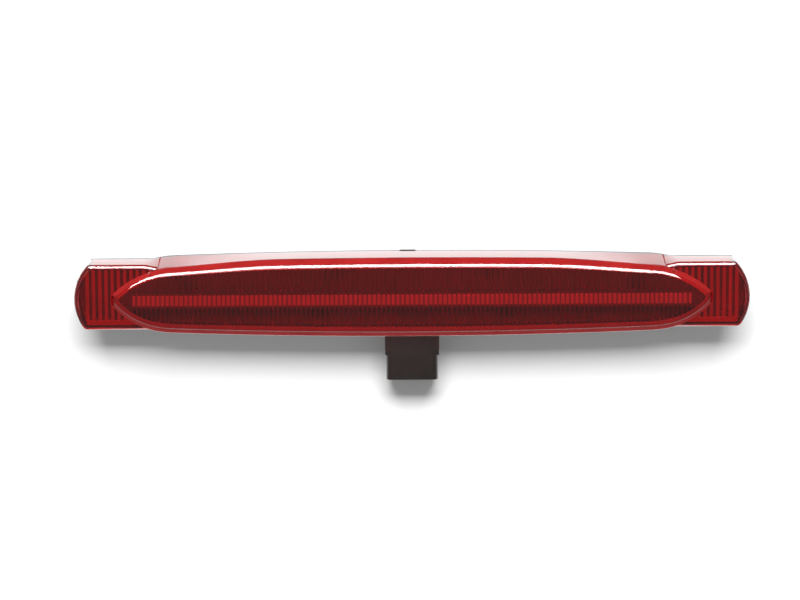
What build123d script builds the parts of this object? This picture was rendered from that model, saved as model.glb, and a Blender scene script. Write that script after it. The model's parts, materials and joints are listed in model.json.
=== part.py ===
from build123d import *
import math
import os

# A centre high-mounted brake light: a long red lens over a row of thirty light-emitting
# diodes, closed at the back by a black housing with two studs, and a two-way electrical
# socket that hangs down behind it.
#
# X runs along the lamp, the lens faces -Y and +Z is up.  The origin is the middle of the
# mounting plane, halfway between the two studs.  All sizes are in millimetres.

# --- driving dimensions -------------------------------------------------------------

length = 360.0             # overall, end to end of the lens
flange_height = 35.0       # the straight end stretches
crown_height = 42.4        # the swollen middle
crown_length = 323.0       # the raised dome on the lens face
lens_depth = 23.5          # lens rim to flange face
dome_wall = 3.0            # upright edge of the dome above the flange face
dome_slope = 5.5           # sloped shoulder above that edge
dome_slope_width = 3.0     # how far the shoulder leans in over its height
dome_bow = 4.7             # how far the dome's face falls back from its middle to its tips
wall = 2.5                 # lens wall
gasket_thickness = 2.5
plate_thickness = 2.5      # back of the housing

lamp_count = 30
lamp_pitch = 10.0
lamp_z = -3.3              # height of the row of lamps
channel_height = 4.7       # bright channel round the row

stud_spacing = 220.0
stud_radius = 2.5          # plain neck of an M5 stud
thread_radius = 2.25       # mean radius of its thread
stud_tip = 19.0
panel_gap = 1.2            # thickness of the sheet the nuts clamp on

socket_width = 27.9
sleeve_width = 29.4
socket_depth = 14.0        # front to back
socket_bottom = -50.8
sleeve_bottom = -37.2

# --- levels along Y, from the mounting plane forward -----------------------------------

plate_rear = -gasket_thickness
plate_front = plate_rear - plate_thickness
lens_face = plate_front - lens_depth
dome_edge = lens_face - dome_wall
dome_front = dome_edge - dome_slope
board_rear = plate_front - 3.0
board_thickness = 1.6
board_front = board_rear - board_thickness
bezel_rear = board_front - 1.2
bezel_thickness = 1.2
bezel_front = bezel_rear - bezel_thickness
channel_front = bezel_front - 6.5

# --- small shared sizes ------------------------------------------------------------------

screw_radius = 1.25
screw_head_radius = 2.75
screw_head = 2.0
running_gap = 0.05         # radial gap of a pin or a nut that turns


# --- helpers -----------------------------------------------------------------------------

def block(x0, x1, y0, y1, z0, z1):
    """A box between two corners."""
    middle = Pos((x0 + x1) / 2, (y0 + y1) / 2, (z0 + z1) / 2)
    return middle * Box(x1 - x0, y1 - y0, z1 - z0)


def rod_x(radius, y, z, x0, x1):
    """A round bar along X."""
    return Pos((x0 + x1) / 2, y, z) * Rot(0, 90, 0) * Cylinder(radius, x1 - x0)


def rod_y(radius, x, z, y0, y1):
    """A round bar along Y."""
    return Pos(x, (y0 + y1) / 2, z) * Rot(90, 0, 0) * Cylinder(radius, y1 - y0)


def rod_z(radius, x, y, z0, z1):
    """A round bar along Z."""
    return Pos(x, y, (z0 + z1) / 2) * Cylinder(radius, z1 - z0)


def slab(face, rear, front):
    """A front-view outline, thickened from the rear level forward to the front level."""
    return extrude(Pos(0, rear, 0) * face, amount=rear - front, dir=(0, -1, 0))


def column(width, depth, radius, y, z0, z1):
    """An upright column with rounded vertical edges, centred on x = 0."""
    plan = RectangleRounded(width, depth, radius)
    return extrude(Pos(0, y, z0) * plan, amount=z1 - z0)


def group(solids):
    """Separate solids kept together as one node."""
    return Compound(children=list(solids))


def mirrored_pair(x, make):
    """The same piece at +x and at -x."""
    return [make(x), make(-x)]


# --- outlines in the front view -------------------------------------------------------------

def flange_outline():
    """The straight bar of the lens with its bowed ends, which bow a little below the middle."""
    half = length / 2
    top = flange_height / 2
    bow_radius = 27.0
    bow_height = -1.3
    bow_centre = half - bow_radius
    upper_x = bow_centre + math.sqrt(bow_radius**2 - (top - bow_height) ** 2)
    lower_x = bow_centre + math.sqrt(bow_radius**2 - (top + bow_height) ** 2)
    right = ThreePointArc((upper_x, top), (half, bow_height), (lower_x, -top))
    left = ThreePointArc((-lower_x, -top), (-half, bow_height), (-upper_x, top))
    upper = Line((-upper_x, top), (upper_x, top))
    lower = Line((lower_x, -top), (-lower_x, -top))
    face = make_face(Curve() + [upper, right, lower, left])
    return fillet(face.vertices(), 2.5)


def crown_outline():
    """The long lens-shaped dome: two flat arcs that turn through shoulders into round tips."""
    tip = crown_length / 2
    half = crown_height / 2
    drop = 2.05
    shoulder_x = 128.0
    shoulder_z = half - drop
    shoulder_radius = 45.0
    flat_radius = (shoulder_x**2 + drop**2) / (2 * drop)
    lean = math.asin(shoulder_x / flat_radius)
    centre_x = shoulder_x - shoulder_radius * math.sin(lean)
    centre_z = shoulder_z - shoulder_radius * math.cos(lean)
    reach = tip - centre_x
    tip_radius = (shoulder_radius**2 - reach**2 - centre_z**2) / (2 * (shoulder_radius - reach))
    turn = math.atan2(tip - tip_radius - centre_x, -centre_z)
    knee_x = tip - tip_radius + tip_radius * math.sin(turn)
    knee_z = tip_radius * math.cos(turn)
    halfway = (lean + turn) / 2
    middle_x = centre_x + shoulder_radius * math.sin(halfway)
    middle_z = centre_z + shoulder_radius * math.cos(halfway)
    edges = Curve()
    for side in (1, -1):
        left_shoulder = (-shoulder_x, side * shoulder_z)
        right_shoulder = (shoulder_x, side * shoulder_z)
        edges += ThreePointArc(left_shoulder, (0, side * half), right_shoulder)
        edges += ThreePointArc((side * knee_x, knee_z), (side * tip, 0), (side * knee_x, -knee_z))
        for end in (1, -1):
            start = (end * shoulder_x, side * shoulder_z)
            middle = (end * middle_x, side * middle_z)
            edges += ThreePointArc(start, middle, (end * knee_x, side * knee_z))
    return make_face(edges)


def lens_outline():
    """The whole front view: bar and dome, with soft inner corners where they cross."""
    face = flange_outline() + crown_outline()
    inner = [v for v in face.vertices() if 132 < abs(v.X) < 150 and abs(v.Y) > 17]
    upper = [v for v in inner if v.Y > 0]
    face = fillet(upper, 12.0)
    inner = [v for v in face.vertices() if 132 < abs(v.X) < 150 and v.Y < -17]
    return fillet(inner, 4.0)


crown = Plane.XZ * crown_outline()
outline = Plane.XZ * lens_outline()


def shrunk(face, amount):
    """An outline moved in by an amount all round."""
    return offset(face, amount=-amount, kind=Kind.ARC)


def ring(outer, inner, rear, front):
    """A band between two insets of the lens outline."""
    return slab(shrunk(outline, outer), rear, front) - slab(shrunk(outline, inner), rear, front)


# --- lens ------------------------------------------------------------------------------------

def bowed(front):
    """Everything behind a face that bows forward along the lamp, its middle at the front level."""
    radius = (crown_length / 2) ** 2 / (2 * dome_bow)
    return Pos(0, front + radius, 0) * Cylinder(radius, 2 * crown_height)


def outer_lens():
    """Red lens: skirt, flange face and raised dome in one moulding, open at the back."""
    skirt = slab(outline, plate_front, lens_face)
    front_edges = skirt.edges().filter_by_position(Axis.Y, lens_face - 0.01, lens_face + 0.01)
    skirt = fillet(front_edges, 1.5)
    lean = math.degrees(math.atan(dome_slope_width / dome_slope))
    shoulder = extrude(Pos(0, dome_edge, 0) * crown, amount=dome_slope, dir=(0, -1, 0), taper=lean)
    dome = (slab(crown, lens_face + 2.0, dome_edge) + shoulder) & bowed(dome_front)
    hollow = slab(shrunk(outline, wall), plate_front, lens_face + wall)
    dome_hollow = slab(shrunk(crown, wall + dome_slope_width), lens_face + 2 * wall, dome_front)
    return skirt + dome - hollow - (dome_hollow & bowed(dome_front + wall))


bead_depth = 0.8
bead_outer = 0.7
bead_inner = 1.9


def lens_bond_bead():
    """Ring of adhesive in the groove under the lens rim."""
    return ring(bead_outer, bead_inner, plate_front + bead_depth, plate_front)


# --- housing ------------------------------------------------------------------------------------

board_post_places = [(-120.0, 4.2), (-50.0, -11.2), (50.0, -11.2), (120.0, 4.2)]
bezel_post_places = [(x, 10.6) for x in (-125.0, -42.0, 42.0, 125.0)]
board_half_length = 149.5
board_bottom = -14.2
board_top = 7.2

neck_half_width = 17.0
neck_rear = 15.5
neck_top = 1.0
neck_bottom = -15.0
neck_wall = 2.0
ear_half_width = 22.5
ear_screw_x = 19.6
socket_y = 10.0            # middle of the socket behind the mounting plane

vent_x = 62.0
vent_z = -4.0
vent_radius = 3.0
stud_head_radius = 4.5


def studs_at(make):
    """One piece for each stud."""
    return [make(x) for x in (-stud_spacing / 2, stud_spacing / 2)]


def rear_housing():
    """Black back of the lamp: plate, locating tongue, posts, wiring neck and vent spout."""
    body = slab(outline, plate_rear, plate_front)
    body += ring(wall + 0.3, wall + 2.1, plate_front, plate_front - 3.0)
    body -= lens_bond_bead()
    for x, z in board_post_places:
        body += rod_y(3.0, x, z, board_rear, plate_front)
        body -= rod_y(screw_radius, x, z, board_rear, plate_rear - 0.8)
    for x, z in bezel_post_places:
        body += rod_y(3.0, x, z, bezel_rear, plate_front)
        body -= rod_y(screw_radius, x, z, bezel_rear, plate_rear - 0.8)
    for x in (-stud_spacing / 2, stud_spacing / 2):
        body -= rod_y(3.0, x, 0, plate_front, plate_rear)
    body += wiring_neck()
    body += rod_y(vent_radius, vent_x, vent_z, plate_rear, 3.0)
    body -= rod_y(1.5, vent_x, vent_z, plate_front, 3.0)
    inside_neck = neck_half_width - neck_wall
    body -= block(-inside_neck, inside_neck, plate_front, neck_rear - neck_wall,
                  neck_bottom + neck_wall, neck_top - neck_wall)
    body -= block(-11.0, 11.0, 6.5, 13.5, neck_bottom, neck_bottom + neck_wall)
    for sign in (-1, 1):
        body -= rod_z(screw_radius, sign * ear_screw_x, socket_y, neck_bottom, neck_bottom + 6.0)
    gate_nub = rod_x(1.2, plate_rear - 1.25, 4.5, -length / 2 - 0.5, -length / 2 + 0.5)
    half = crown_height / 2
    locating_tab = block(-6.4, 2.1, plate_front, plate_rear, half - 0.6, half + 0.3)
    return body + gate_nub + locating_tab


def wiring_neck():
    """Box behind the plate that carries the terminals back and down, with two screw ears."""
    neck = block(-neck_half_width, neck_half_width, plate_rear, neck_rear, neck_bottom, neck_top)
    upright = neck.edges().filter_by(Axis.Y)
    neck = fillet(upright, 1.5)
    ears = block(-ear_half_width, ear_half_width, 6.0, 14.0, neck_bottom, neck_bottom + 8.0)
    return neck + ears


def rear_gasket():
    """Foam ring that seals the lamp on the body of the car."""
    return ring(1.5, 6.0, 0, plate_rear)


def mounting_studs():
    """Two M5 studs moulded into the plate: flat head, knurled neck, plain neck and thread."""
    def stud(x):
        head = rod_y(stud_head_radius, x, 0, plate_front - 1.5, plate_front)
        knurled = rod_y(3.0, x, 0, plate_front, plate_rear)
        plain = rod_y(stud_radius, x, 0, plate_rear, 1.0)
        thread = rod_y(thread_radius, x, 0, 1.0, stud_tip)
        tip = [e for e in thread.edges().filter_by(GeomType.CIRCLE) if e.center().Y > stud_tip - 0.1]
        return head + knurled + plain + chamfer(tip, 0.6)
    return group(studs_at(stud))


def vent_cap():
    """Rubber cap on the vent spout, with a breathing gap cut in its skirt."""
    cap = rod_y(4.2, vent_x, vent_z, -0.5, 5.0) - rod_y(vent_radius, vent_x, vent_z, -0.5, 3.0)
    cap -= block(vent_x - 0.8, vent_x + 0.8, -0.5, 1.5, vent_z - 5.0, vent_z - 2.9)
    return cap


# --- nuts and washers ----------------------------------------------------------------------------

washer_radius = 6.0
washer_thickness = 1.2
nut_height = 4.7
nut_radius = 8.0 / math.sqrt(3)      # corner radius of a nut 8 mm across its flats
nut_bore = thread_radius + running_gap
washer_front = panel_gap
washer_rear = washer_front + washer_thickness
nut_front = washer_rear + 0.1
nut_rear = nut_front + nut_height


def washer(x):
    """Plain washer that stays with its nut."""
    disc = rod_y(washer_radius, x, 0, washer_front, washer_rear)
    return disc - rod_y(nut_bore, x, 0, washer_front, washer_rear)


def nut(x):
    """Hexagonal nut with its corners taken off at both ends."""
    hexagon = Pos(x, nut_rear, 0) * (Plane.XZ * RegularPolygon(nut_radius, 6))
    prism = extrude(hexagon, amount=nut_height, dir=(0, -1, 0))
    barrel = rod_y(nut_radius, x, 0, nut_front, nut_rear)
    barrel = chamfer(barrel.edges().filter_by(GeomType.CIRCLE), 0.45)
    return (prism & barrel) - rod_y(nut_bore, x, 0, nut_front, nut_rear)


# --- light source -----------------------------------------------------------------------------------

lamp_radius = 1.5
lamp_rim_radius = 1.9
lamp_height = 5.3
first_lamp_x = -lamp_pitch * (lamp_count - 1) / 2
lamp_xs = [first_lamp_x + lamp_pitch * i for i in range(lamp_count)]
terminal_x = 6.0
lead_z = -10.6
lead_thickness = 0.8
lead_width = 2.4


def circuit_board():
    """Long board with clearance holes for its screws and slots for the two leads."""
    board = block(-board_half_length, board_half_length, board_front, board_rear, board_bottom, board_top)
    for x, z in board_post_places:
        board -= rod_y(screw_radius + 0.15, x, z, board_front, board_rear)
    for sign in (-1, 1):
        x = sign * terminal_x
        board -= block(x - lead_width / 2, x + lead_width / 2, board_front, board_rear,
                       lead_z - lead_thickness / 2, lead_z + lead_thickness / 2)
    return board


def lamps():
    """Thirty 3 mm light-emitting diodes: rim, barrel and rounded nose."""
    def lamp(x):
        rim = rod_y(lamp_rim_radius, x, lamp_z, board_front - 1.0, board_front)
        nose = board_front - lamp_height + lamp_radius
        barrel = rod_y(lamp_radius, x, lamp_z, nose, board_front - 1.0)
        return rim + barrel + Pos(x, nose, lamp_z) * Sphere(lamp_radius)
    return group(lamp(x) for x in lamp_xs)


def lying_component(x, z, radius, body_length):
    """An axial component on the back of the board: a barrel and its two bent legs."""
    level = board_rear + radius + 0.1
    half = body_length / 2
    leg = 0.3
    part = rod_x(radius, level, z, x - half, x + half)
    part += rod_x(leg, level, z, x - half - 1.6, x + half + 1.6)
    for end in (x - half - 1.6, x + half + 1.6):
        part += rod_y(leg, end, z, board_rear, level + leg)
    return part


def resistors():
    """Ten resistors, one for each string of three lamps."""
    places = [first_lamp_x + lamp_pitch * (3 * i + 1) for i in range(lamp_count // 3)]
    return group(lying_component(x, 5.5, 1.15, 6.3) for x in places)


def polarity_diode():
    """Diode that guards against reversed wires."""
    return lying_component(24.0, -10.6, 1.2, 5.2)


def surge_suppressor():
    """Flat disc that clips voltage spikes, lying against the board."""
    disc = rod_y(3.6, -25.0, -9.8, board_rear, board_rear + 2.2)
    return chamfer(disc.edges().filter_by(GeomType.CIRCLE).group_by(Axis.Y)[-1], 0.5)


def pan_screw(x, z, seat, shank_length):
    """Self-tapping screw driven toward +Y: its head stands forward of the seat."""
    head = rod_y(screw_head_radius, x, z, seat - screw_head, seat)
    front = [e for e in head.edges().filter_by(GeomType.CIRCLE) if e.center().Y < seat - 1.0]
    head = fillet(front, 0.8)
    head -= block(x - 1.5, x + 1.5, seat - screw_head, seat - 1.0, z - 0.3, z + 0.3)
    head -= block(x - 0.3, x + 0.3, seat - screw_head, seat - 1.0, z - 1.5, z + 1.5)
    return head + rod_y(screw_radius, x, z, seat, seat + shank_length)


def board_screws():
    """Four screws that hold the board on its posts."""
    return group(pan_screw(x, z, board_front, 5.6) for x, z in board_post_places)


def bezel_screws():
    """Four screws that hold the bezel on its posts."""
    return group(pan_screw(x, z, bezel_front, 7.6) for x, z in bezel_post_places)


rib = 1.2
channel_top = lamp_z + channel_height / 2
channel_bottom = lamp_z - channel_height / 2
reflector_wall = 0.6
channel_half = crown_length / 2 - 12.0
strip_thickness = 1.8      # clear strip that closes the channel
rib_front = channel_front - 1.0


def bezel():
    """Black face plate round the lamps, with two ribs that hold the channel and its strip."""
    face = shrunk(crown, wall + 1.0)
    plate = slab(face, bezel_rear, bezel_front)
    ribs = block(-length, length, rib_front, bezel_front, channel_bottom - reflector_wall - rib,
                 channel_top + reflector_wall + rib)
    ribs = ribs & slab(face, bezel_rear, rib_front)
    slot = block(-channel_half, channel_half, rib_front, bezel_rear, channel_bottom - reflector_wall,
                 channel_top + reflector_wall)
    part = plate + ribs - slot
    for x, z in bezel_post_places:
        part -= rod_y(screw_radius + 0.15, x, z, bezel_front, bezel_rear)
    for x, z in board_post_places:
        part -= rod_y(screw_head_radius + 0.4, x, z, bezel_front, bezel_rear)
    return part


def led_reflector():
    """Bright channel with a hole for each lamp."""
    inner_half = channel_half - 1.0
    outer = block(-channel_half, channel_half, channel_front, bezel_rear, channel_bottom - reflector_wall,
                  channel_top + reflector_wall)
    inner = block(-inner_half, inner_half, channel_front, bezel_front, channel_bottom, channel_top)
    part = outer - inner
    for x in lamp_xs:
        part -= rod_y(lamp_radius + 0.2, x, lamp_z, bezel_front, bezel_rear)
    return part


def strip_lens():
    """Milky strip in front of the lamps, with its front edges taken off."""
    front = channel_front - strip_thickness
    strip = block(-channel_half, channel_half, front, channel_front, channel_bottom - reflector_wall,
                  channel_top + reflector_wall)
    return chamfer(strip.edges().filter_by(Axis.X).group_by(Axis.Y)[0], 0.6)


# --- socket -----------------------------------------------------------------------------------------

flange_thickness = 2.0
sleeve_top = neck_bottom - flange_thickness
sleeve_wall = 2.0
spigot_width = 25.0
spigot_depth = 9.6
spigot_top = neck_bottom - 3.5
seal_top = spigot_top - 1.5
seal_height = 2.5
seal_inset = 0.8
rail_width = 2.3
rail_proud = 0.9
blade_width = 6.3
blade_thickness = 0.8
blade_tip = -47.6
socket_floor = -39.7
sleeve_inner_width = sleeve_width - 2 * sleeve_wall
sleeve_inner_depth = socket_depth - 2 * sleeve_wall

pivot_y = socket_y + socket_depth / 2 + 2.0
pivot_z = -23.5
pin_radius = 0.8
latch_half_width = 4.1
lug_inner = 4.4
lug_outer = 6.4
hook_half_width = 3.0
hook_tip = socket_y + spigot_depth / 2 - 0.5
hook_top = -28.0
hook_bottom = -30.0


def latch_window(rear, front):
    """Space through the sleeve that the latch's hook swings in."""
    return block(-3.5, 3.5, front, rear, hook_bottom - 2.4, hook_top + 0.5)


def connector_bracket():
    """Sleeve screwed under the neck: flange, rails on its front corners and lugs for the latch."""
    rear_face = socket_y + socket_depth / 2
    front_face = socket_y - socket_depth / 2
    part = column(sleeve_width, socket_depth, 1.0, socket_y, sleeve_bottom, sleeve_top)
    part += block(-ear_half_width, ear_half_width, 4.0, 16.0, sleeve_top, neck_bottom)
    for sign in (-1, 1):
        outer = sign * sleeve_width / 2
        inner = outer - sign * rail_width
        rail = block(min(outer, inner), max(outer, inner), front_face - rail_proud, front_face + 1.2,
                     sleeve_bottom + 1.5, sleeve_top)
        corner = [e for e in rail.edges().filter_by(Axis.Y)
                  if e.center().Z < sleeve_bottom + 2 and abs(e.center().X) > abs(inner) + 1]
        part += chamfer(corner, 1.4)
        lug_middle = sign * (lug_inner + lug_outer) / 2
        lug_half = (lug_outer - lug_inner) / 2
        lug = block(lug_middle - lug_half, lug_middle + lug_half, rear_face - 0.5, pivot_y + 1.8,
                    pivot_z - 2.2, pivot_z + 2.2)
        part += lug
    part -= column(sleeve_inner_width, sleeve_inner_depth, 1.0, socket_y, sleeve_bottom, neck_bottom)
    part -= latch_window(rear_face, socket_y)
    part -= rod_x(pin_radius, pivot_y, pivot_z, -lug_outer, lug_outer)
    for sign in (-1, 1):
        part -= rod_z(screw_radius + 0.15, sign * ear_screw_x, socket_y, sleeve_top, neck_bottom)
    return part


def blade_slot(x, z0, z1):
    """Space of one upright blade."""
    return block(x - blade_width / 2, x + blade_width / 2, socket_y - blade_thickness / 2,
                 socket_y + blade_thickness / 2, z0, z1)


def connector_socket():
    """Two-way socket: open shroud below, solid spigot above that plugs into the bracket."""
    shroud = column(socket_width, socket_depth, 3.0, socket_y, socket_bottom, sleeve_bottom)
    shroud -= column(socket_width - 3.2, socket_depth - 3.2, 1.5, socket_y, socket_bottom, socket_floor)
    spigot = column(spigot_width, spigot_depth, 0.8, socket_y, sleeve_bottom, spigot_top)
    groove = column(spigot_width, spigot_depth, 0.8, socket_y, seal_top - seal_height, seal_top)
    core = column(spigot_width - 2 * seal_inset, spigot_depth - 2 * seal_inset, 0.8, socket_y,
                  seal_top - seal_height, seal_top)
    part = shroud + (spigot - groove) + core
    part -= latch_window(socket_y + spigot_depth / 2, hook_tip - 0.4)
    for sign in (-1, 1):
        part -= blade_slot(sign * terminal_x, socket_floor, spigot_top)
    return part


def socket_seal():
    """Rubber ring in the groove of the spigot, pressed on the inside of the sleeve."""
    low = seal_top - seal_height
    outer = column(sleeve_inner_width, sleeve_inner_depth, 1.0, socket_y, low, seal_top)
    core_width = spigot_width - 2 * seal_inset
    core_depth = spigot_depth - 2 * seal_inset
    return outer - column(core_width, core_depth, 0.8, socket_y, low, seal_top)


def terminals():
    """Two brass blades: upright in the socket, then forward through the neck to the board."""
    def terminal(x):
        top = lead_z + lead_thickness / 2
        rear = socket_y + blade_thickness / 2
        blade = blade_slot(x, blade_tip, top)
        lead = block(x - lead_width / 2, x + lead_width / 2, board_front - 0.8, rear,
                     top - lead_thickness, top)
        return blade + lead
    return group(mirrored_pair(terminal_x, terminal))


def bracket_screws():
    """Two screws, driven upward, that hold the bracket under the neck."""
    def screw(x):
        head = rod_z(screw_head_radius, x, socket_y, sleeve_top - screw_head, sleeve_top)
        lowest = head.edges().filter_by(GeomType.CIRCLE).group_by(Axis.Z)[0]
        head = fillet(lowest, 0.8)
        low = sleeve_top - screw_head
        head -= block(x - 1.5, x + 1.5, socket_y - 0.3, socket_y + 0.3, low, low + 1.0)
        head -= block(x - 0.3, x + 0.3, socket_y - 1.5, socket_y + 1.5, low, low + 1.0)
        return head + rod_z(screw_radius, x, socket_y, sleeve_top, neck_bottom + 6.0)
    return group(mirrored_pair(ear_screw_x, screw))


def latch_pin():
    """Steel pin, pressed in the bracket's lugs, that the latch turns on."""
    return rod_x(pin_radius, pivot_y, pivot_z, -lug_outer, lug_outer)


def socket_latch():
    """Rocking latch behind the sleeve: thumb pad above the pin, hook below it."""
    inner = pivot_y - 0.8
    outer = pivot_y + 0.8
    arm = block(-latch_half_width, latch_half_width, inner, outer, hook_bottom, pivot_z + 5.0)
    hook = block(-hook_half_width, hook_half_width, hook_tip, outer, hook_bottom, hook_top)
    toe = [e for e in hook.edges().filter_by(Axis.X)
           if e.center().Y < inner and e.center().Z < hook_bottom + 0.5]
    hook = chamfer(toe, 1.0)
    barrel = rod_x(1.8, pivot_y, pivot_z, -latch_half_width, latch_half_width)
    part = arm + hook + barrel
    for step in range(3):
        z = pivot_z + 2.8 + 0.8 * step
        part += block(-latch_half_width, latch_half_width, outer, outer + 0.4, z, z + 0.4)
    return part - rod_x(pin_radius + running_gap, pivot_y, pivot_z, -latch_half_width, latch_half_width)


# --- write every node ------------------------------------------------------------------------------

nodes = {
    "outer_lens": outer_lens,
    "lens_bond_bead": lens_bond_bead,
    "rear_housing": rear_housing,
    "rear_gasket": rear_gasket,
    "mounting_studs": mounting_studs,
    "vent_cap": vent_cap,
    "washer_left": lambda: washer(-stud_spacing / 2),
    "washer_right": lambda: washer(stud_spacing / 2),
    "nut_left": lambda: nut(-stud_spacing / 2),
    "nut_right": lambda: nut(stud_spacing / 2),
    "circuit_board": circuit_board,
    "lamps": lamps,
    "resistors": resistors,
    "polarity_diode": polarity_diode,
    "surge_suppressor": surge_suppressor,
    "board_screws": board_screws,
    "bezel": bezel,
    "bezel_screws": bezel_screws,
    "led_reflector": led_reflector,
    "strip_lens": strip_lens,
    "connector_bracket": connector_bracket,
    "bracket_screws": bracket_screws,
    "connector_socket": connector_socket,
    "socket_seal": socket_seal,
    "terminals": terminals,
    "socket_latch": socket_latch,
    "latch_pin": latch_pin,
}

os.makedirs("parts", exist_ok=True)
for name, make in nodes.items():
    export_step(make(), f"parts/{name}.step")
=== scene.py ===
import json
import math

import bmesh
import bpy
from mathutils import Matrix, Vector


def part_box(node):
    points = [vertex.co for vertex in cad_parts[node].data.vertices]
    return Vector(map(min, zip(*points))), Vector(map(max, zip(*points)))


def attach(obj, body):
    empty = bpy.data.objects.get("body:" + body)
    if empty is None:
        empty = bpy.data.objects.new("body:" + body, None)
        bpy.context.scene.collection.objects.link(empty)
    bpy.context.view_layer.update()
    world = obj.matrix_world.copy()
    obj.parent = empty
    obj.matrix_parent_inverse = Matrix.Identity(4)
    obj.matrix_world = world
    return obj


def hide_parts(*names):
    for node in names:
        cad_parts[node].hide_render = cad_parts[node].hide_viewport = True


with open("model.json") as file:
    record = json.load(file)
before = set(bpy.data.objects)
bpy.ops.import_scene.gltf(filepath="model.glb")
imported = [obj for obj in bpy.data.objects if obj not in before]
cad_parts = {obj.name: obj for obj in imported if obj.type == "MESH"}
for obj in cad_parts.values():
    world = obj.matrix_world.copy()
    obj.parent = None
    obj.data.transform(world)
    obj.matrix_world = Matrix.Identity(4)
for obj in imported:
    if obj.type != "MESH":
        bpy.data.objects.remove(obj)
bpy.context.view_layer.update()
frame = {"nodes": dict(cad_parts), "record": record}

# Meshes are worked out in millimetres and turned to metres when a piece is made.
# X runs along the lamp, the lens faces -Y and +Z is up.

MM = 0.001

# --- sizes read from the frame ----------------------------------------------------------


def box_mm(node):
    """Lowest and highest corner of a CAD node, in millimetres."""
    low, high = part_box(node)
    return low / MM, high / MM


lens_low, lens_high = box_mm("outer_lens")
half_length = lens_high.x
crown_half = lens_high.z
rim_y = lens_high.y
dome_front = lens_low.y

# --- lens shape --------------------------------------------------------------------------

flange_half = 17.5         # straight end stretches, half their height
flange_face = -28.5
wall = 2.5
crown_tip = 161.5
crown_drop = 2.05          # the flat arc falls this much by the time the shoulder begins
shoulder_x = 128.0
shoulder_radius = 45.0
dome_bow = 4.7
end_bow_radius = 27.0
end_bow_height = -1.3
corner_radius = 3.2
upper_joint_radius = 40.0  # soft joint of the bar's top edge with the dome
lower_joint_radius = 6.0
tip_droop = 1.1            # the dome's tips hang a little below its middle
upper_droop = 0.18         # share by which the upper outline also falls toward the tips
droop_start = 70.0
droop_end = 148.0
side_edge = -31.5          # the dome's upright wall ends here at the middle of the lamp,
side_lean = 3.0            # leans in by this much up to a crease,
land_rise = 0.9            # and a rounded land runs from the crease to the face
land_turn = 34.0           # degrees that the land turns through
land_width = 2.9
land_reach = 10.0          # how far the land's curve may reach along each of its two straights
edge_round = 0.6           # rounding of the leaning side into the upright wall
face_crown = 0.25          # how far the face falls back toward its long edges
crease_round = 0.25
flute_pitch = 2.5
flute_depth = 0.44
ridge_pitch = 3.35
ridge_top = 1.5            # width of a ridge's flat back
ridge_flank = 0.25
ridge_height = 0.7


# --- mesh helpers --------------------------------------------------------------------------

def mix(a, b, t):
    """The value a share t of the way from a to b."""
    return a + (b - a) * t


def smooth_step(low, high, value):
    """0 before low, 1 after high, and a soft turn between."""
    t = min(1.0, max(0.0, (value - low) / (high - low)))
    return t * t * (3 - 2 * t)


def mesh_object(name, points, faces):
    """A mesh piece from millimetre points."""
    mesh = bpy.data.meshes.new(name)
    mesh.from_pydata([Vector(p) * MM for p in points], [], faces)
    mesh.validate()
    piece = bpy.data.objects.new(name, mesh)
    bpy.context.scene.collection.objects.link(piece)
    repair = bmesh.new()
    repair.from_mesh(mesh)
    bmesh.ops.recalc_face_normals(repair, faces=repair.faces)
    repair.to_mesh(mesh)
    repair.free()
    return piece


def smooth(piece, degrees=35):
    """Smooth shading with edges sharper than the angle kept."""
    piece.data.shade_smooth()
    piece.data.set_sharp_from_angle(angle=math.radians(degrees))


def soften(piece, width):
    """Small rounding on a piece's sharp edges."""
    step = piece.modifiers.new("soften", "BEVEL")
    step.width = width * MM
    step.segments = 2
    step.limit_method = "ANGLE"
    step.angle_limit = math.radians(40)


def apply_modifiers(piece):
    """Turns a piece's modifiers into its mesh."""
    depsgraph = bpy.context.evaluated_depsgraph_get()
    depsgraph.update()
    done = bpy.data.meshes.new_from_object(piece.evaluated_get(depsgraph))
    piece.modifiers.clear()
    piece.data = done


def combine(piece, other, operation):
    """Boolean of two closed pieces; the second is used up."""
    step = piece.modifiers.new("combine", "BOOLEAN")
    step.operation = operation
    step.solver = "EXACT"
    step.object = other
    apply_modifiers(piece)
    bpy.data.objects.remove(other)


def loft(rings, cap_first=True, cap_last=True):
    """Points and faces of a closed tube through rings of equal length."""
    count = len(rings[0])
    points = [p for ring in rings for p in ring]
    faces = []
    for k in range(len(rings) - 1):
        for i in range(count):
            j = (i + 1) % count
            faces.append((k * count + i, k * count + j, (k + 1) * count + j, (k + 1) * count + i))
    if cap_first:
        faces.append(tuple(range(count)))
    if cap_last:
        last = (len(rings) - 1) * count
        faces.append(tuple(last + i for i in range(count)))
    return points, faces


def corner_curve(before, corner, after, reach, steps):
    """Points of a soft corner: a quadratic curve that starts and ends a reach from the corner."""
    to_before = Vector(before) - Vector(corner)
    to_after = Vector(after) - Vector(corner)
    start = Vector(corner) + to_before.normalized() * min(reach, to_before.length * 0.95)
    end = Vector(corner) + to_after.normalized() * min(reach, to_after.length * 0.95)
    curve = []
    for i in range(steps + 1):
        t = i / steps
        curve.append(start * (1 - t) ** 2 + Vector(corner) * (2 * t * (1 - t)) + end * t**2)
    return curve


# --- outline of the dome ---------------------------------------------------------------------

crown_shoulder_z = crown_half - crown_drop
flat_radius = (shoulder_x**2 + crown_drop**2) / (2 * crown_drop)
lean_angle = math.asin(shoulder_x / flat_radius)
shoulder_centre_x = shoulder_x - shoulder_radius * math.sin(lean_angle)
shoulder_centre_z = crown_shoulder_z - shoulder_radius * math.cos(lean_angle)
shoulder_reach = crown_tip - shoulder_centre_x
tip_radius = (shoulder_radius**2 - shoulder_reach**2 - shoulder_centre_z**2) / (
    2 * (shoulder_radius - shoulder_reach))
tip_centre_x = crown_tip - tip_radius
turn_angle = math.atan2(tip_centre_x - shoulder_centre_x, -shoulder_centre_z)


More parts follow.
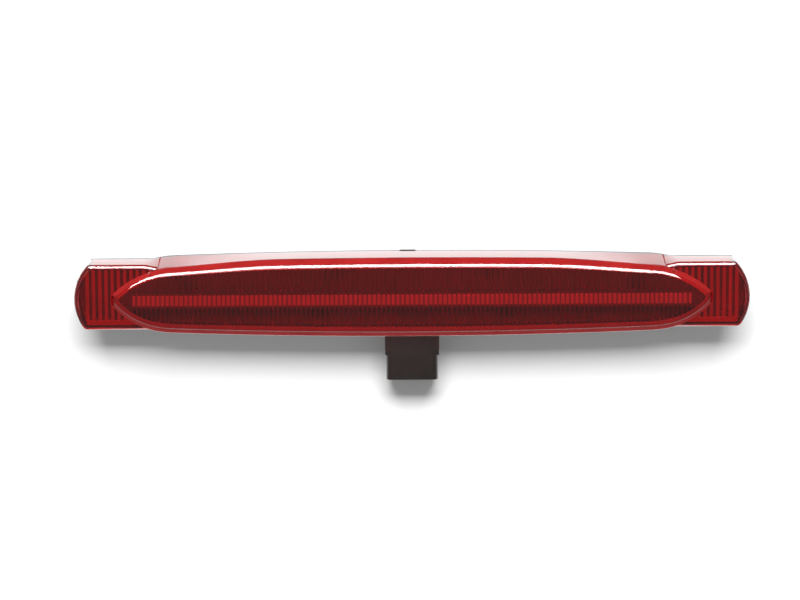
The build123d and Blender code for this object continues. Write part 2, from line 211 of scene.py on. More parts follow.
def crown_stations(flat_steps=48, shoulder_steps=26, tip_steps=18):
    """(centre x, centre z, radius, angle from +Z) along the upper right quarter, tip last."""
    flat = [(0.0, crown_half - flat_radius, flat_radius, lean_angle * i / flat_steps)
            for i in range(flat_steps)]
    shoulder = [(shoulder_centre_x, shoulder_centre_z, shoulder_radius,
                 mix(lean_angle, turn_angle, i / shoulder_steps)) for i in range(shoulder_steps)]
    tip = [(tip_centre_x, 0.0, tip_radius, mix(turn_angle, math.pi / 2, i / tip_steps))
           for i in range(tip_steps + 1)]
    return flat + shoulder + tip


def station_point(station, inset):
    """The outline's point at a station, moved in by the inset."""
    centre_x, centre_z, radius, angle = station
    reach = radius - inset
    return centre_x + reach * math.sin(angle), centre_z + reach * math.cos(angle)


def crown_height_at(x, inset):
    """Half height of the dome's outline, moved in by the inset, at a place along the lamp."""
    x = abs(x)
    if x <= (flat_radius - inset) * math.sin(lean_angle):
        return crown_half - flat_radius + math.sqrt((flat_radius - inset) ** 2 - x**2)
    if x <= shoulder_centre_x + (shoulder_radius - inset) * math.sin(turn_angle):
        reach = shoulder_radius - inset
        return shoulder_centre_z + math.sqrt(reach**2 - (x - shoulder_centre_x) ** 2)
    reach = tip_radius - inset
    return math.sqrt(max(0.0, reach**2 - (x - tip_centre_x) ** 2))


bow_radius = crown_tip**2 / (2 * dome_bow)


def fall(x):
    """How far the dome's face falls back at a place along the lamp."""
    return x**2 / (2 * bow_radius)


def face_level(x, z):
    """Level of the dome's face, which bows along the lamp and a little across it."""
    return dome_front + 0.05 + fall(x) + face_crown * (z / crown_half) ** 2


def droop(x, level, z):
    """Height of a point of the dome once its tips hang; the rim keeps its outline."""
    share = min(1.0, (rim_y - level) / (rim_y - flange_face))
    if z > 0:
        z *= 1 - share * upper_droop * smooth_step(droop_start, droop_end, abs(x))
    return z - share * tip_droop * smooth_step(shoulder_x, crown_tip, abs(x))


def side_profile(x):
    """(inset, level) of the dome's side: rim, edge, crease, and the land's middle and end."""
    face = face_level(x, crown_height_at(x, 0) - side_lean - land_width)
    land_middle = side_lean + land_rise / math.tan(math.radians(land_turn))
    return [(0.0, rim_y), (0.0, side_edge + fall(x)), (side_lean, face + land_rise),
            (land_middle, face), (side_lean + land_width, face)]


# --- lens ----------------------------------------------------------------------------------------

face_columns = 10          # strips across the dome's face


def dome_ring(stations, make):
    """A ring round the dome: make gives (inset, level) at a station."""
    upper_right = []
    for station in stations:
        inset, level = make(station)
        x, z = station_point(station, inset)
        upper_right.append((x, level, z))
    upper_left = [(-x, y, z) for x, y, z in reversed(upper_right[1:])]
    upper = upper_left + upper_right
    lower = [(x, y, -z) for x, y, z in reversed(upper[1:-1])]
    return [(x, y, droop(x, y, z)) for x, y, z in upper + lower]


def strip(left, right):
    """Faces between two columns of points; a column of one point makes a fan."""
    if len(left) == 1:
        return [(left[0], right[j], right[j + 1]) for j in range(len(right) - 1)]
    if len(right) == 1:
        return [(left[j], right[0], left[j + 1]) for j in range(len(left) - 1)]
    return [(left[j], right[j], right[j + 1], left[j + 1]) for j in range(len(left) - 1)]


def dome_body():
    """Outside of the dome as a closed solid that reaches back to the rim."""
    stations = crown_stations()
    profiles = {}
    for station in stations:
        x, _ = station_point(station, 0)
        rear, edge, crease, land_middle, land_end = side_profile(x)
        profile = [Vector(rear)]
        profile += corner_curve(rear, edge, crease, edge_round, 4)
        profile += corner_curve(edge, crease, land_middle, crease_round, 3)
        profile += corner_curve(crease, land_middle, land_end, land_reach, 8)
        profiles[station] = profile
    levels = len(next(iter(profiles.values())))
    rings = [dome_ring(stations, lambda s, k=k: tuple(profiles[s][k])) for k in range(levels)]
    points, faces = loft(rings, cap_first=False, cap_last=False)
    count = len(rings[0])
    half = count // 2
    front_ring = (levels - 1) * count
    last_front = None
    last_rear = None
    for i in range(half + 1):
        rear = [i] if i in (0, half) else [i, count - i]
        front = [front_ring + i]
        if len(rear) == 2:
            top = Vector(points[front_ring + i])
            low = Vector(points[front_ring + count - i])
            for j in range(1, face_columns):
                place = top.lerp(low, j / face_columns)
                front.append(len(points))
                points.append((place.x, face_level(place.x, place.z), place.z))
            front.append(front_ring + count - i)
        if i > 0:
            faces += strip(last_front, front)
            faces += strip(last_rear, rear)
        last_front = front
        last_rear = rear
    return mesh_object("dome_body", points, faces)


def arc(centre_x, centre_z, radius, start, end, steps):
    """Points of an arc; the angles run from +Z toward +X."""
    return [(centre_x + radius * math.sin(mix(start, end, i / steps)),
             centre_z + radius * math.cos(mix(start, end, i / steps))) for i in range(steps + 1)]


def flange_half_outline(side, fillet_radius):
    """Right half of the bar above (side 1) or below (side -1), from inside the dome to the end."""
    centre_z = flange_half + fillet_radius
    rise = centre_z - shoulder_centre_z
    far = shoulder_radius + fillet_radius
    centre_x = shoulder_centre_x + math.sqrt(far**2 - rise**2)
    touch = math.atan2(centre_x - shoulder_centre_x, rise)
    joint = arc(centre_x, centre_z, fillet_radius, touch - math.pi, -math.pi, 8)
    start_x, start_z = joint[0]
    inside = (start_x - 1.0, start_z - 1.5)
    bow_x = half_length - end_bow_radius
    bow_z = end_bow_height * side
    inner_rise = flange_half - corner_radius - bow_z
    corner_x = bow_x + math.sqrt((end_bow_radius - corner_radius) ** 2 - inner_rise**2)
    corner_z = flange_half - corner_radius
    corner_turn = math.atan2(corner_x - bow_x, inner_rise)
    corner = arc(corner_x, corner_z, corner_radius, 0.0, corner_turn, 8)
    end = arc(bow_x, bow_z, end_bow_radius, corner_turn, math.pi / 2, 14)
    return [inside] + joint + corner + end[1:]


def flange_outline():
    """Points round the bar, with soft joints where the dome crosses it."""
    upper = flange_half_outline(1, upper_joint_radius)
    lower = [(x, -z) for x, z in flange_half_outline(-1, lower_joint_radius)]
    right = upper + list(reversed(lower[:-1]))
    left = [(-x, z) for x, z in reversed(right)]
    return right + left


upper_round = 2.6          # rounding of the bar's front edge along its top
lower_round = 2.2          # and along its bottom
round_blend = 12.0         # the one passes into the other over this height either way
round_depth = 2.2
round_steps = 9
joint_start = 131.0        # the bar leaves the dome's outline here
joint_end = 143.0


def inset_ring(ring, share, level):
    """A ring of (x, z) points moved in along its own normals by a share of the rounding."""
    count = len(ring)
    moved = []
    for i, (x, z) in enumerate(ring):
        before = Vector(ring[i - 1])
        after = Vector(ring[(i + 1) % count])
        here = Vector((x, z))
        first = (here - before).normalized()
        second = (after - here).normalized()
        along = (first + second).normalized()
        inward = Vector((along.y, -along.x))
        inset = share * mix(lower_round, upper_round, smooth_step(-round_blend, round_blend, z))
        reach = inset / max(0.5, inward.dot(Vector((first.y, -first.x))))
        moved.append((x + inward.x * reach, level, z + inward.y * reach))
    return moved


def joint_height(x, level, z):
    """Height of a point of the bar, whose top follows the dome's fall where the two meet."""
    if z < 0:
        return z
    return mix(droop(x, level, z), z, smooth_step(joint_start, joint_end, abs(x)))


def flange_body():
    """The bar as a closed solid with a rounded front edge."""
    outline = flange_outline()
    rings = [inset_ring(outline, 0.0, rim_y)]
    for i in range(round_steps + 1):
        angle = math.pi / 2 * i / round_steps
        level = flange_face + round_depth * (1 - math.sin(angle))
        rings.append(inset_ring(outline, 1 - math.cos(angle), level))
    points, faces = loft(rings)
    points = [(x, y, joint_height(x, y, z)) for x, y, z in points]
    return mesh_object("lens_shell", points, faces)


def flute(x, pitch, depth):
    """Height of round-backed flutes that stand side by side."""
    radius = (depth**2 + (pitch / 2) ** 2) / (2 * depth)
    away = (x / pitch + 0.5) % 1.0 - 0.5
    return math.sqrt(radius**2 - (away * pitch) ** 2) - (radius - depth)


flute_steps = 6
hollow_end = 2.6           # the hollow stops this far inside the crease at the tips
hollow_crease = 2.4        # its face begins this far inside the crease
hollow_wall_end = 1.8      # and its upright wall ends this far behind the outer one
hollow_open = 1.0          # a hollow reaches this far past the rim, so that it opens cleanly


def fluted_places(start, end, pitch):
    """Places along the lamp, several to a flute, with the valleys among them."""
    places = [start]
    step = pitch / flute_steps
    first = math.ceil(start / step + 0.3)
    last = math.floor(end / step - 0.3)
    # a valley lies half a pitch off each multiple of the pitch
    places += [i * step for i in range(first, last + 1)]
    return places + [end]


def dome_cavity():
    """Hollow of the dome, open at the rim, with flutes under the face."""
    reach = crown_tip - side_lean - hollow_end
    sections = []
    for x in fluted_places(-reach, reach, flute_pitch):
        outer = crown_height_at(x, wall)
        inner = max(0.3, min(outer - 0.05, crown_height_at(x, side_lean + hollow_crease)))
        outer = max(outer, inner + 0.05)
        top = face_level(x, 0) + wall + flute(x, flute_pitch, flute_depth)
        edge_level = max(side_edge + fall(x) + hollow_wall_end, top + 0.1)
        upper = [(rim_y + hollow_open, outer), (edge_level, outer), (top, inner)]
        lower = [(level, -z) for level, z in reversed(upper)]
        sections.append([(x, level, droop(x, level, z)) for level, z in upper + lower])
    return mesh_object("dome_cavity", *loft(sections))


margin_top = 14.2          # the ridges end this far above the middle
margin_bottom = -12.6
ridge_margin = 4.4         # plain stretch between the last ridge and the lens's end
ridge_start = 126.0
ridge_gap = 0.6            # a ridge keeps this far from the hollow's upper and lower wall
ridge_slope = 0.3          # and its ends slope over this height


def ridge_places(end):
    """(place, height) along one end of the bar, four to a ridge."""
    places = []
    middle = ridge_start + ridge_pitch
    while middle + ridge_pitch / 2 < end:
        half = ridge_top / 2
        places += [(middle - half - ridge_flank, 0.0), (middle - half, ridge_height),
                   (middle + half, ridge_height), (middle + half + ridge_flank, 0.0)]
        middle += ridge_pitch
    return places


def flange_cavity(side):
    """Hollow of one end of the bar, with coarse upright ridges under the face."""
    bow_x = half_length - end_bow_radius
    reach = end_bow_radius - wall
    end = half_length - wall - 0.05
    height = flange_half - wall
    top = flange_face + wall
    places = [(ridge_start, 0.0)] + ridge_places(half_length - ridge_margin)
    last = places[-1][0] + 0.2
    places += [(mix(last, end, math.sin(math.pi / 2 * i / 10)), 0.0) for i in range(11)]
    sections = []
    for x, rise in places:
        across = math.sqrt(max(0.01, reach**2 - max(0.0, x - bow_x) ** 2))
        upper = min(height, end_bow_height + across)
        lower = max(-height, end_bow_height - across)
        high = min(upper - ridge_gap, margin_top)
        low = max(lower + ridge_gap, margin_bottom)
        if high < low + 0.2:
            high = (upper + lower) / 2 + 0.1
            low = high - 0.2
        section = [(rim_y + hollow_open, upper), (top, upper), (top, high + ridge_slope),
                   (top + rise, high), (top + rise, low), (top, low - ridge_slope), (top, lower),
                   (rim_y + hollow_open, lower)]
        sections.append([(side * x, level, z) for level, z in section])
    return mesh_object("flange_cavity", *loft(sections))


outer_margin = 1.2         # faces this close to the outline belong to the outside
face_margin = 1.0          # and so do faces this close behind the dome's face
steep_wall = 0.55          # a dome wall's normal has at least this much of Z, up or down,
level_wall = 0.9           # and a bar wall's has at least this much
flank_tilt = (0.42, 0.7)   # a flute flank's has between these of X


def frost_inside(shell):
    """Frosted material on the hollow's side walls, with darker copies of it as painted shade on the
    ridges' backs and the flutes' flanks.
    """
    shell.data.materials.append(materials["lens_red"])
    shell.data.materials.append(materials["lens_red_frosted"])
    shell.data.materials.append(materials["lens_red_ridge_painted_shade"])
    shell.data.materials.append(materials["lens_red_flank_painted_shade"])
    ridge_level = flange_face + wall + ridge_height
    for face in shell.data.polygons:
        x, y, z = face.center / MM
        half = crown_height_at(x, 0) if abs(x) < crown_tip else 0.0
        low = droop(x, y, -half) + outer_margin
        high = droop(x, y, half) - outer_margin
        inside_dome = low < z < high and y > face_level(x, z) + face_margin
        inside_bar = abs(z) < flange_half - outer_margin and y > flange_face + 0.2
        on_ridge = abs(y - ridge_level) < 0.05 and face.normal.y > 0.9
        # ridge backs take a darker copy of the frosted acrylic: painted shade
        if on_ridge:
            face.material_index = 2
        elif inside_dome and abs(face.normal.z) > steep_wall:
            face.material_index = 1
        elif inside_bar and abs(face.normal.z) > level_wall:
            face.material_index = 1
        # flute flanks take a darker, clearer copy of the frosted acrylic: painted shade
        elif inside_dome and flank_tilt[0] < abs(face.normal.x) < flank_tilt[1]:
            face.material_index = 3


def lens_shell():
    """Red lens in one moulding: bar and dome outside, fluted hollows inside."""
    shell = flange_body()
    combine(shell, dome_body(), "UNION")
    hollow = dome_cavity()
    combine(hollow, flange_cavity(1), "UNION")
    combine(hollow, flange_cavity(-1), "UNION")
    combine(shell, hollow, "DIFFERENCE")
    smooth(shell, 32)
    return shell


# --- back of the housing -------------------------------------------------------------------------

gasket_low = box_mm("rear_gasket")[0]
studs_low, studs_high = box_mm("mounting_studs")
plate_level = gasket_low.y
stud_head_radius = studs_high.z
stud_x = studs_high.x - stud_head_radius
gasket_inset = 6.0         # from the lamp's outline to the gasket's inner edge
rib_level = plate_level + 1.5
rib_foot = 1.7             # a rib is wider at its foot than at its top, so that it leaves the mould
rib_top = 1.1
rib_pitch = 16.0
sink = 0.3                 # ribs and bosses begin this far inside the plate
rib_heights = (8.2, -8.2)  # the two ribs that run along the lamp
neck_reach = 17.0          # half width of the wiring neck
stud_boss = 6.8
mark_z = 3.6               # ejector marks: height of their row and their radius
mark_radius = 1.8
dome_plate_end = shoulder_x + 8.0  # the plate follows the dome's outline up to here


def plate_half(x):
    """Half height of the plate's free area, inside the gasket."""
    outline = crown_height_at(x, 0) if abs(x) < dome_plate_end else flange_half
    return max(outline, flange_half) - gasket_inset


def rib(start, end):
    """A straight rib between two (x, z) points on the plate."""
    along = (Vector(end) - Vector(start)).normalized()
    across = Vector((-along.y, along.x))
    rings = []
    for place in (start, end):
        section = []
        for width, level in ((-rib_foot, plate_level - sink), (-rib_top, rib_level),
                             (rib_top, rib_level), (rib_foot, plate_level - sink)):
            point = Vector(place) + across * (width / 2)
            section.append((point.x, level, point.y))
        rings.append(section)
    return mesh_object("rib", *loft(rings))


def disc(name, x, z, rear, front, radius, bevel, steps=40):
    """A round boss on the plate with a bevelled rim."""
    rings = []
    for level, reach in ((front, radius), (rear - bevel, radius), (rear, radius - bevel)):
        rings.append([(x + reach * math.cos(math.tau * i / steps), level,
                       z + reach * math.sin(math.tau * i / steps)) for i in range(steps)])
    return mesh_object(name, *loft(rings))


def housing_ribs():
    """Lattice of ribs that stiffens the plate, with a round boss at each stud."""
    upper, lower = rib_heights
    reach = half_length - 2 * gasket_inset
    lattice = rib((-reach, upper), (reach, upper))
    for side in (-1, 1):
        combine(lattice, rib((side * neck_reach, lower), (side * reach, lower)), "UNION")
        for k in range(2, int(reach / rib_pitch) + 1):
            x = k * rib_pitch
            half = plate_half(x) + 0.5
            if abs(x - stud_x) > stud_boss:
                combine(lattice, rib((side * x, -half), (side * x, half)), "UNION")
        boss = disc("boss", side * stud_x, 0.0, rear=0.0, front=plate_level - sink,
                    radius=stud_boss, bevel=0.5)
        combine(lattice, boss, "UNION")
    lattice.name = "housing_ribs"
    smooth(lattice, 30)
    return lattice


def ejector_mark(name, x):
    """One round mark that a pin of the mould leaves on the plate."""
    return disc(name, x, mark_z, rear=plate_level + 0.15, front=plate_level - 0.1,
                radius=mark_radius, bevel=0.05)


def ejector_marks():
    """Faint round marks between the ribs."""
    first_x = 1.5 * rib_pitch
    marks = ejector_mark("ejector_marks", first_x)
    for side in (-1, 1):
        for k in range(1, 10, 2):
            x = (k + 0.5) * rib_pitch
            if side * x == first_x or abs(x - stud_x) < 2 * stud_boss:
                continue
            combine(marks, ejector_mark("mark", side * x), "UNION")
    smooth(marks, 30)
    return marks


# --- studs -----------------------------------------------------------------------------------------

thread_pitch = 0.8
thread_crest = 2.29
thread_root = 1.98
thread_start = 1.0
thread_sides = 48
thread_rings = 9           # rings to a turn
neck_radius = 2.5
knurl_radius = 3.0
stud_head = 1.5            # thickness of the head
stud_edge = 0.3            # bevel of its rims


def thread_reach(level, turn):
    """Radius of the thread at a level, at an angle given as a share of a turn."""
    phase = ((level - thread_start) / thread_pitch - turn) % 1.0
    away = abs(phase - 0.5) * 2
    # the flanks are straight, with a short flat at the crest and another at the root
    height = min(1.0, max(0.0, 1.15 - 1.3 * away))
    point = studs_high.y - level + thread_root - 0.5
    return min(mix(thread_root, thread_crest, height), point)


def stud(x):
    """One stud, turned about its own axis: head, a wider neck standing for the knurl (left smooth),
    plain neck, thread and point.
    """
    head_start = studs_low.y
    head_end = head_start + stud_head
    head_rim = stud_head_radius - stud_edge
    plain = [(head_start, head_rim), (head_start + stud_edge, stud_head_radius),
             (head_end - stud_edge, stud_head_radius), (head_end, head_rim),
             (head_end, knurl_radius), (plate_level - stud_edge, knurl_radius),
             (plate_level, knurl_radius - stud_edge), (plate_level, neck_radius),
             (thread_start - 0.4, neck_radius), (thread_start, thread_root)]
    rings = [[(level, radius)] * thread_sides for level, radius in plain]
    steps = round((studs_high.y - thread_start) / thread_pitch * thread_rings)
    for k in range(1, steps + 1):
        level = mix(thread_start, studs_high.y, k / steps)
        rings.append([(level, thread_reach(level, i / thread_sides))
                      for i in range(thread_sides)])
    placed = []
    for ring in rings:
        placed.append([(x + radius * math.cos(math.tau * i / thread_sides), level,
                        radius * math.sin(math.tau * i / thread_sides))
                       for i, (level, radius) in enumerate(ring)])
    return mesh_object("studs", *loft(placed))


def both_studs():
    """The two studs as one piece."""
    pair = stud(-stud_x)
    combine(pair, stud(stud_x), "UNION")
    smooth(pair, 40)
    return pair


# --- materials ---------------------------------------------------------------------------------

def material(name):
    """A material with an empty tree, its shader and its output."""
    made = bpy.data.materials.new(name)
    made.use_nodes = True
    tree = made.node_tree
    tree.nodes.clear()
    shader = tree.nodes.new("ShaderNodeBsdfPrincipled")
    output = tree.nodes.new("ShaderNodeOutputMaterial")
    tree.links.new(shader.outputs["BSDF"], output.inputs["Surface"])
    return made, tree, shader


def object_noise(tree, scale, detail=4.0, stretch=(1, 1, 1)):
    """Noise fixed to the piece, its scale in features per metre."""
    place = tree.nodes.new("ShaderNodeTexCoord")
    mapping = tree.nodes.new("ShaderNodeMapping")
    mapping.inputs["Scale"].default_value = stretch
    noise = tree.nodes.new("ShaderNodeTexNoise")
    noise.inputs["Scale"].default_value = scale
    noise.inputs["Detail"].default_value = detail
    tree.links.new(place.outputs["Object"], mapping.inputs["Vector"])
    tree.links.new(mapping.outputs["Vector"], noise.inputs["Vector"])
    return noise.outputs["Fac"]


def spread(tree, value, low, high):
    """A 0 to 1 value spread between two numbers."""
    node = tree.nodes.new("ShaderNodeMapRange")
    node.inputs["From Min"].default_value = 0.3
    node.inputs["From Max"].default_value = 0.7
    node.inputs["To Min"].default_value = low
    node.inputs["To Max"].default_value = high
    tree.links.new(value, node.inputs["Value"])
    return node.outputs["Result"]


def two_colours(tree, value, first, second):
    """A colour between two, by a 0 to 1 value."""
    ramp = tree.nodes.new("ShaderNodeValToRGB")
    ramp.color_ramp.elements[0].position = 0.32
    ramp.color_ramp.elements[0].color = (*first, 1)
    ramp.color_ramp.elements[1].position = 0.68
    ramp.color_ramp.elements[1].color = (*second, 1)
    tree.links.new(value, ramp.inputs["Fac"])
    return ramp.outputs["Color"]


def bump(tree, shader, value, strength, distance):
    """Fine relief on the shader."""
    node = tree.nodes.new("ShaderNodeBump")
    node.inputs["Strength"].default_value = strength
    node.inputs["Distance"].default_value = distance
    tree.links.new(value, node.inputs["Height"])
    tree.links.new(node.outputs["Normal"], shader.inputs["Normal"])


def grained(name, first, second, roughness, metallic=0.0, grain_scale=900.0, relief=0.15,
            relief_depth=0.00008, stretch=(1, 1, 1), mottle_scale=60.0):
    """A moulded, cast or coated surface: mottled colour, uneven gloss and a fine grain."""
    made, tree, shader = material(name)
    mottle = object_noise(tree, mottle_scale, 5.0, stretch)
    tree.links.new(two_colours(tree, mottle, first, second), shader.inputs["Base Color"])
    grain = object_noise(tree, grain_scale, 3.0, stretch)
    tree.links.new(spread(tree, grain, roughness[0], roughness[1]), shader.inputs["Roughness"])
    shader.inputs["Metallic"].default_value = metallic
    bump(tree, shader, grain, relief, relief_depth)
    return made


def lens_red():
    """Clear red acrylic with the faintest unevenness of a moulded surface."""
    made, tree, shader = material("lens_red")
    shader.inputs["Transmission Weight"].default_value = 1.0
    shader.inputs["IOR"].default_value = 1.49
    flow = object_noise(tree, 9.0, 2.0)
    tree.links.new(two_colours(tree, flow, (0.80, 0.012, 0.016), (0.86, 0.016, 0.022)),
                   shader.inputs["Base Color"])
    fine = object_noise(tree, 300.0, 2.0)
    tree.links.new(spread(tree, fine, 0.012, 0.03), shader.inputs["Roughness"])
    bump(tree, shader, object_noise(tree, 40.0, 2.0), 0.02, 0.0002)
    return made


def blasted(name, first, second, clearness=0.2):
    """The same acrylic where the mould was blasted: it scatters the light."""
    made, tree, shader = material(name)
    shader.inputs["Transmission Weight"].default_value = clearness
    shader.inputs["IOR"].default_value = 1.1
    shader.inputs["Specular IOR Level"].default_value = 0.0
    flow = object_noise(tree, 60.0, 3.0)
    tree.links.new(two_colours(tree, flow, first, second), shader.inputs["Base Color"])
    fine = object_noise(tree, 1500.0, 2.0)
    tree.links.new(spread(tree, fine, 0.6, 0.8), shader.inputs["Roughness"])
    bump(tree, shader, fine, 0.2, 0.0001)
    return made


makers = {
    "lens_red": lens_red,
    "lens_red_frosted": lambda: blasted("lens_red_frosted", (0.45, 0.02, 0.02),
                                        (0.56, 0.028, 0.028)),
    # darker copy of the frosted acrylic for the ridges' backs, which face the lamps square on:
    # painted shade
    "lens_red_ridge_painted_shade": lambda: blasted("lens_red_ridge_painted_shade", (0.27, 0.010, 0.012),
                                      (0.35, 0.014, 0.017)),
    # darker, clearer copy for the flutes' flanks: painted shade in place of the dark stripes from
    # the flutes' refraction
    "lens_red_flank_painted_shade": lambda: blasted("lens_red_flank_painted_shade", (0.13, 0.007, 0.007),
                                      (0.18, 0.010, 0.010), clearness=0.65),
    "housing_black": lambda: grained("housing_black", (0.030, 0.029, 0.028), (0.044, 0.042, 0.040),
                                     (0.38, 0.55), relief=0.3),
    "connector_black": lambda: grained("connector_black", (0.012, 0.009, 0.008),
                                       (0.021, 0.016, 0.014), (0.3, 0.44), relief=0.3),
    "bezel_black": lambda: grained("bezel_black", (0.060, 0.056, 0.055), (0.078, 0.073, 0.071),
                                   (0.5, 0.62), relief=0.2),
    "strip_milky": lambda: grained("strip_milky", (0.36, 0.35, 0.34), (0.42, 0.41, 0.40),
                                   (0.25, 0.35), relief=0.1),
    "black_steel": lambda: grained("black_steel", (0.03, 0.03, 0.03), (0.05, 0.05, 0.05),
                                   (0.4, 0.55), relief=0.2),
    "reflector_bright": lambda: grained("reflector_bright", (0.36, 0.35, 0.35),
                                        (0.44, 0.43, 0.42), (0.3, 0.4), relief=0.1),
    "board_green": lambda: grained("board_green", (0.010, 0.085, 0.032), (0.016, 0.125, 0.046),
                                   (0.3, 0.42), grain_scale=1600.0),
    "diode_epoxy": lambda: grained("diode_epoxy", (0.55, 0.05, 0.04), (0.65, 0.08, 0.06),
                                   (0.1, 0.18), relief=0.05),
    "component_tan": lambda: grained("component_tan", (0.46, 0.31, 0.16), (0.55, 0.38, 0.21),
                                     (0.35, 0.45)),
    "component_black": lambda: grained("component_black", (0.015, 0.015, 0.016),
                                       (0.025, 0.025, 0.026), (0.25, 0.4)),
    "component_blue": lambda: grained("component_blue", (0.02, 0.07, 0.26), (0.03, 0.10, 0.34),
                                      (0.3, 0.42)),
    "adhesive": lambda: grained("adhesive", (0.32, 0.30, 0.27), (0.42, 0.40, 0.36), (0.3, 0.5)),
    "foam_gasket": lambda: grained("foam_gasket", (0.022, 0.022, 0.023), (0.05, 0.05, 0.052),
                                   (0.85, 0.98), grain_scale=1400.0, relief=0.9,
                                   relief_depth=0.0004),
    "seal_rubber": lambda: grained("seal_rubber", (0.018, 0.018, 0.018), (0.032, 0.031, 0.03),
                                   (0.6, 0.75), relief=0.3),
    "zinc_steel": lambda: grained("zinc_steel", (0.52, 0.53, 0.55), (0.66, 0.67, 0.68),
                                  (0.22, 0.4), metallic=1.0, grain_scale=700.0, relief=0.2),
    "yellow_zinc": lambda: grained("yellow_zinc", (0.60, 0.46, 0.20), (0.72, 0.58, 0.33),
                                   (0.2, 0.38), metallic=1.0, mottle_scale=140.0, relief=0.2),
    "brass_blade": lambda: grained("brass_blade", (0.66, 0.45, 0.16), (0.78, 0.56, 0.24),
                                   (0.2, 0.34), metallic=1.0, relief=0.15),
}
materials = {slot: make() for slot, make in makers.items()}


def dress(piece, slot):
    """Gives a piece one slot's material."""
    piece.data.materials.clear()
    piece.data.materials.append(materials[slot])


for row in frame["record"]["subparts"]:
    dress(frame["nodes"][row["node"]], row["material_slot"])


def add_piece(piece, slot, body, *nodes):
    """Finishes a piece: material, slot, the body it rides on and the nodes it stands for."""
    if not piece.data.materials:
        dress(piece, slot)
    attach(piece, body)
    if nodes:
        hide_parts(*nodes)
    return piece


# --- pieces ------------------------------------------------------------------------------------

shell = lens_shell()
frost_inside(shell)
add_piece(shell, "lens_red", "lamp_body", "outer_lens")
shell.visible_shadow = False
shell.visible_diffuse = False
add_piece(housing_ribs(), "housing_black", "lamp_body")
add_piece(ejector_marks(), "housing_black", "lamp_body")
add_piece(both_studs(), "yellow_zinc", "lamp_body", "mounting_studs")

bevels = {"connector_socket": 0.35, "connector_bracket": 0.35, "socket_latch": 0.25,
          "rear_housing": 0.25, "washer_left": 0.12, "washer_right": 0.12}
for node, width in bevels.items():
    soften(frame["nodes"][node], width)


# --- stage -------------------------------------------------------------------------------------

def plain_plane(name, centre, normal, width, height):
    """A staged rectangle."""
    points = [(-width / 2, -height / 2, 0), (width / 2, -height / 2, 0),
              (width / 2, height / 2, 0), (-width / 2, height / 2, 0)]
    mesh = bpy.data.meshes.new(name)
    mesh.from_pydata(points, [], [(0, 1, 2, 3)])
    plane = bpy.data.objects.new(name, mesh)
    bpy.context.scene.collection.objects.link(plane)
    plane.rotation_euler = Vector(normal).to_track_quat("Z", "Y").to_euler()
    plane.location = centre
    return plane


def paper(name, lift):
    """Matt white that is clear from behind; lift is light of its own."""
    made, tree, shader = material(name)
    shader.inputs["Emission Color"].default_value = (1, 1, 1, 1)
    shader.inputs["Emission Strength"].default_value = lift
    shader.inputs["Base Color"].default_value = (0.9, 0.9, 0.9, 1)
    shader.inputs["Roughness"].default_value = 0.9
    shader.inputs["Specular IOR Level"].default_value = 0.0
    clear = tree.nodes.new("ShaderNodeBsdfTransparent")
    side = tree.nodes.new("ShaderNodeNewGeometry")
    blend = tree.nodes.new("ShaderNodeMixShader")
    output = next(n for n in tree.nodes if n.type == "OUTPUT_MATERIAL")
    tree.links.new(side.outputs["Backfacing"], blend.inputs["Fac"])
    tree.links.new(shader.outputs["BSDF"], blend.inputs[1])
    tree.links.new(clear.outputs["BSDF"], blend.inputs[2])
    tree.links.new(blend.outputs["Shader"], output.inputs["Surface"])
    return made


latch_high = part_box("socket_latch")[1]
backdrop_y = latch_high.y + 0.0007


def backdrop():
    """The pale surface that the lamp lies on, and a card seen only by way of the lamp."""
    seen = plain_plane("backdrop", (0, backdrop_y, 0), (0, -1, 0), 4.0, 4.0)
    seen.data.materials.append(paper("paper", 0.03))
    seen.visible_diffuse = False
    seen.visible_glossy = False
    seen.visible_transmission = False
    seen.visible_shadow = False
    card_top = 0.10
    card_height = 0.35
    card = plain_plane("backdrop_near", (0, backdrop_y, card_top - card_height / 2),
                       (0, -1, 0), 4.0, card_height)
    card.data.materials.append(paper("paper_near", 0.6))
    card.visible_camera = False
    card.visible_diffuse = False
    card.visible_shadow = False
    return [seen, card]


def area_light(name, direction, reach, width, height, power, only=()):
    """A soft rectangular lamp aimed at the object; with only, it lights just those objects."""
    light = bpy.data.lights.new(name, "AREA")
    light.shape = "RECTANGLE"
    light.size = width
    light.size_y = height
    light.energy = power
    lamp = bpy.data.objects.new(name, light)
    bpy.context.scene.collection.objects.link(lamp)
    lamp.location = Vector(direction).normalized() * reach
    lamp.rotation_euler = (-lamp.location).to_track_quat("-Z", "Y").to_euler()
    lamp.visible_camera = False
    if only:
        receivers = bpy.data.collections.new(name + "_receivers")
        for lit in only:
            receivers.objects.link(lit)
        lamp.light_linking.receiver_collection = receivers
    return lamp


def from_front(across, rise):
    """Direction toward a lamp in front, by its angles across and above, in degrees."""
    across = math.radians(across)
    rise = math.radians(rise)
    return math.sin(across) * math.cos(rise), -math.cos(across) * math.cos(rise), math.sin(rise)


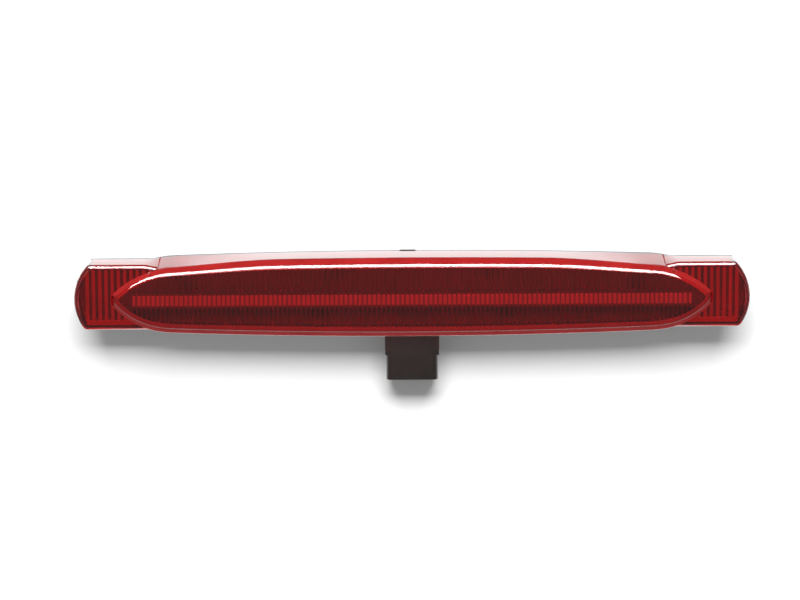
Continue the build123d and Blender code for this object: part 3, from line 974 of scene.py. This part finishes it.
def studio_lights(papers):
    """A softbox for the lamp, another for the papers behind it, and the lens's highlight."""
    pieces = [o for o in bpy.context.scene.objects if o.type == "MESH" and o not in papers]
    area_light("key", from_front(-2, 36), reach=1.2, width=0.85, height=0.62, power=14.0,
               only=pieces)
    area_light("paper_key", from_front(0, 42), reach=2.4, width=1.9, height=0.96, power=96.0,
               only=papers)
    highlight = area_light("highlight", from_front(-6, 51), reach=1.0, width=1.5, height=0.66,
                           power=100.0, only=[shell])
    highlight.visible_diffuse = False
    highlight.visible_transmission = False


def surroundings():
    """Dim even light from all round; plain white where the camera sees it."""
    world = bpy.data.worlds.new("studio")
    bpy.context.scene.world = world
    world.use_nodes = True
    tree = world.node_tree
    tree.nodes.clear()
    output = tree.nodes.new("ShaderNodeOutputWorld")
    dim = tree.nodes.new("ShaderNodeBackground")
    dim.inputs["Strength"].default_value = 0.36
    white = tree.nodes.new("ShaderNodeBackground")
    white.inputs["Strength"].default_value = 1.0
    path = tree.nodes.new("ShaderNodeLightPath")
    blend = tree.nodes.new("ShaderNodeMixShader")
    tree.links.new(path.outputs["Is Camera Ray"], blend.inputs["Fac"])
    tree.links.new(dim.outputs["Background"], blend.inputs[1])
    tree.links.new(white.outputs["Background"], blend.inputs[2])
    tree.links.new(blend.outputs["Shader"], output.inputs["Surface"])


def camera():
    """Long lens, a little above the lamp and almost square to it."""
    elevation = math.radians(8.7)
    roll = math.radians(-0.34)
    distance = 1.8
    view_width = 0.4236
    target = Vector((-0.0064, lens_low.y * MM, -0.0008))
    data = bpy.data.cameras.new("camera")
    data.sensor_width = 36.0
    data.lens = data.sensor_width * distance / view_width
    seen_by = bpy.data.objects.new("camera", data)
    bpy.context.scene.collection.objects.link(seen_by)
    place = target + distance * Vector((0, -math.cos(elevation), math.sin(elevation)))
    turn = (target - place).to_track_quat("-Z", "Y").to_matrix().to_4x4()
    seen_by.matrix_world = Matrix.Translation(place) @ turn @ Matrix.Rotation(roll, 4, "Z")
    bpy.context.scene.camera = seen_by


studio_lights(backdrop())
surroundings()
camera()
bpy.context.scene.view_settings.view_transform = "Standard"
